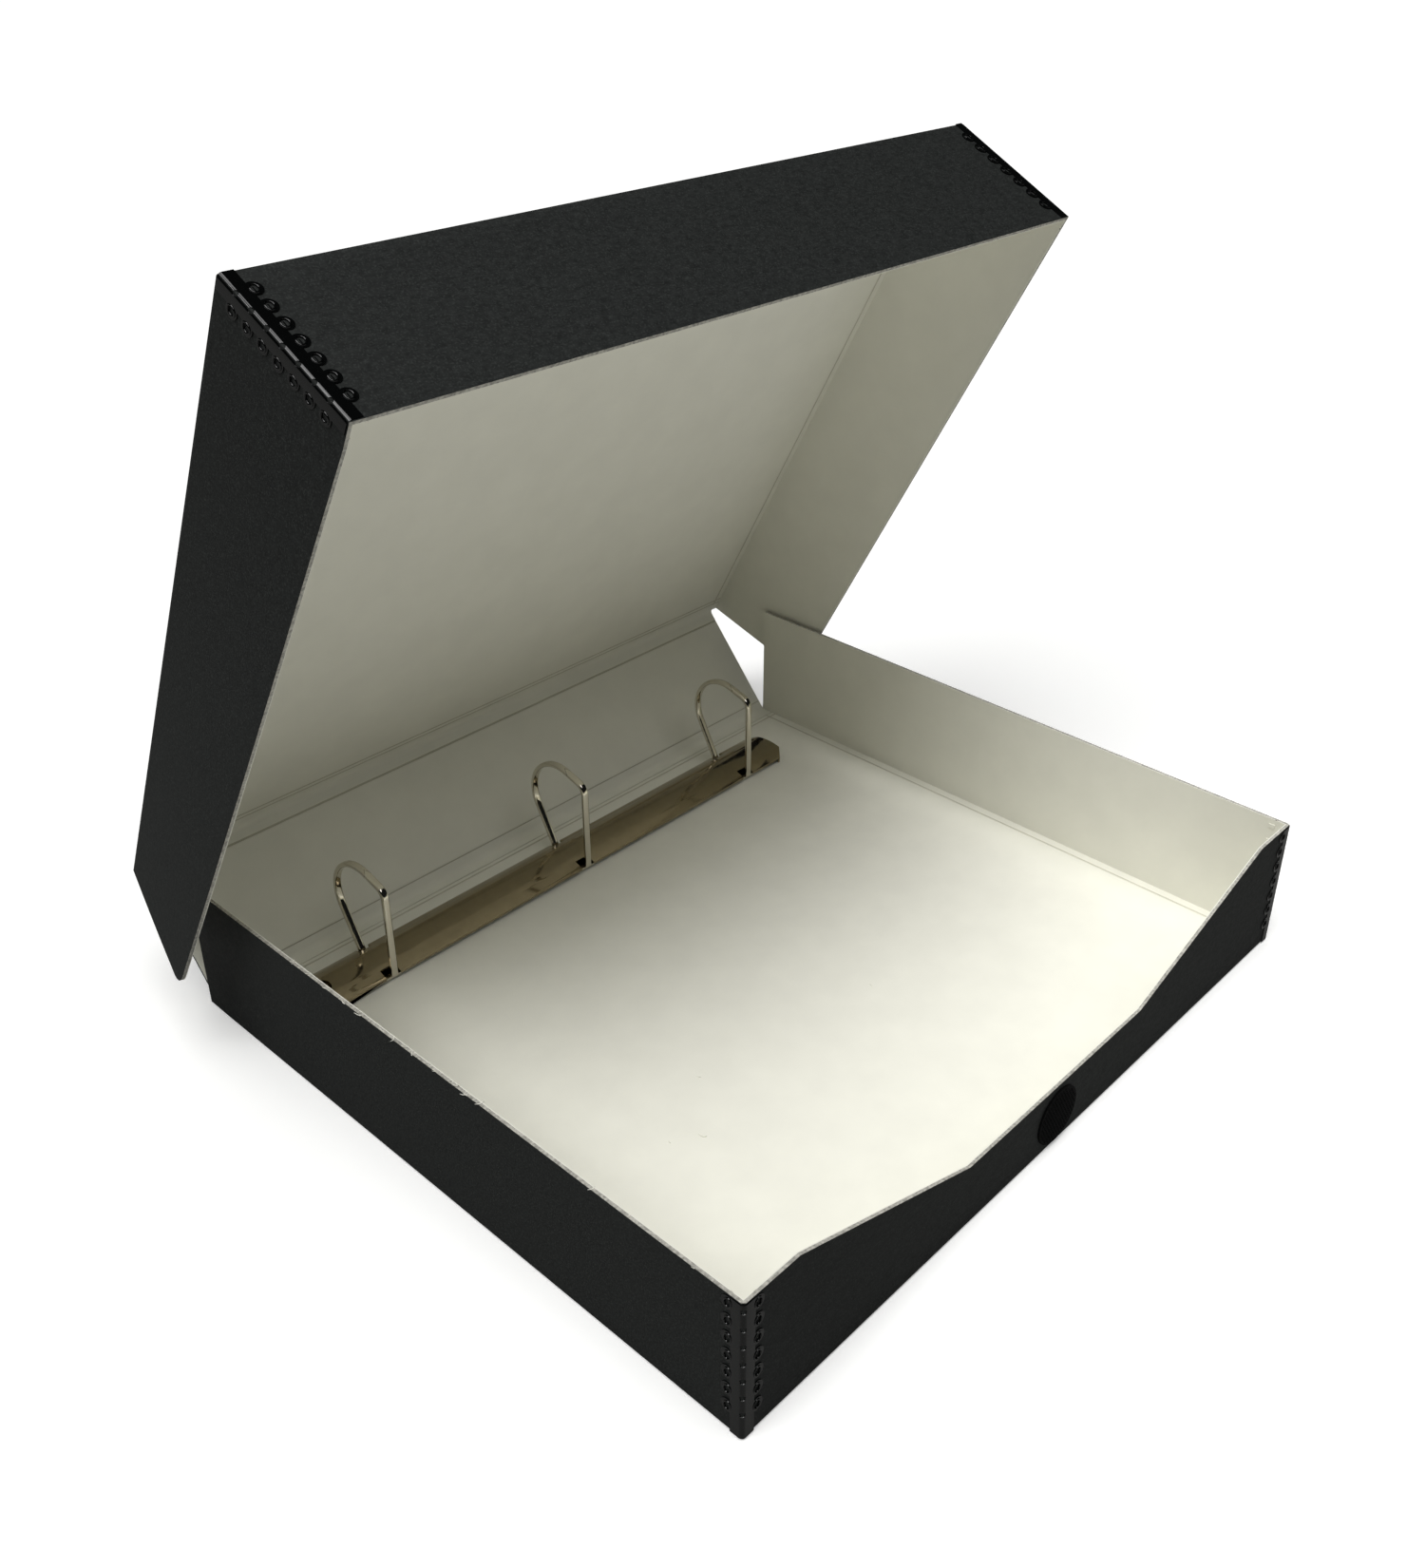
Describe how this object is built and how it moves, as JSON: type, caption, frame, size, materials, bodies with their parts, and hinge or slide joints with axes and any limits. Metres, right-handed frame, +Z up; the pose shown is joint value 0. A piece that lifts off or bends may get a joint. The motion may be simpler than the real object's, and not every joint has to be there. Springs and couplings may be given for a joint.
{
  "type": "archival binder box",
  "caption": "Clamshell archival box of black-faced board with a white lining, stamped metal corner edges, a fastener dot and a riveted D-ring mechanism on the tray floor.",
  "frame": {"origin": "on the underside of the tray, midway between its sides and midway from its front face to the rear crease", "axes": "+X along the spine to the right as seen from the front, +Y from the front cut-down to the spine, +Z up; the lid is open as stored"},
  "size_m": [0.3583, 0.3341, 0.3121],
  "materials": {
    "black_board": "satin",
    "white_lining": "matte",
    "enamelled_edge": "gloss",
    "fastener_felt": "matte",
    "nickel_plate": "polished"
  },
  "bodies": {
    "base": {"base_board": "black_board", "base_lining": "white_lining", "base_left_metal_edge": "enamelled_edge", "base_right_metal_edge": "enamelled_edge", "hook_dot": "fastener_felt", "ring_housing": "nickel_plate", "mechanism_rivets": "nickel_plate"},
    "front_ring_set": {"front_leaf": "nickel_plate", "left_front_ring_half": "nickel_plate", "middle_front_ring_half": "nickel_plate", "right_front_ring_half": "nickel_plate"},
    "rear_ring_set": {"rear_leaf": "nickel_plate", "left_rear_ring_half": "nickel_plate", "middle_rear_ring_half": "nickel_plate", "right_rear_ring_half": "nickel_plate"},
    "spine": {"spine_board": "black_board", "spine_lining": "white_lining"},
    "lid": {"lid_board": "black_board", "lid_lining": "white_lining", "lid_left_metal_edge": "enamelled_edge", "lid_right_metal_edge": "enamelled_edge", "loop_dot": "fastener_felt"}
  },
  "joints": [
    {"name": "spine_crease", "type": "hinge", "parent": "base", "child": "spine", "pos_m": [0, 0.146, 0.00075], "axis": [-1, 0, 0], "range_deg": [-41, 49]},
    {"name": "lid_crease", "type": "hinge", "parent": "spine", "child": "lid", "pos_m": [0, 0.18615, 0.04694], "axis": [-1, 0, 0], "range_deg": [-21.3, 68.7]},
    {"name": "front_leaf_hinge", "type": "hinge", "parent": "base", "child": "front_ring_set", "pos_m": [0, 0.1045, 0.0028], "axis": [1, 0, 0], "range_deg": [0, 9]},
    {"name": "rear_leaf_hinge", "type": "hinge", "parent": "base", "child": "rear_ring_set", "pos_m": [0, 0.1265, 0.0028], "axis": [-1, 0, 0], "range_deg": [0, 9]}
  ],
  "couplings": [
    {"joint": "rear_leaf_hinge", "follows": "front_leaf_hinge", "ratio": 1}
  ]
}
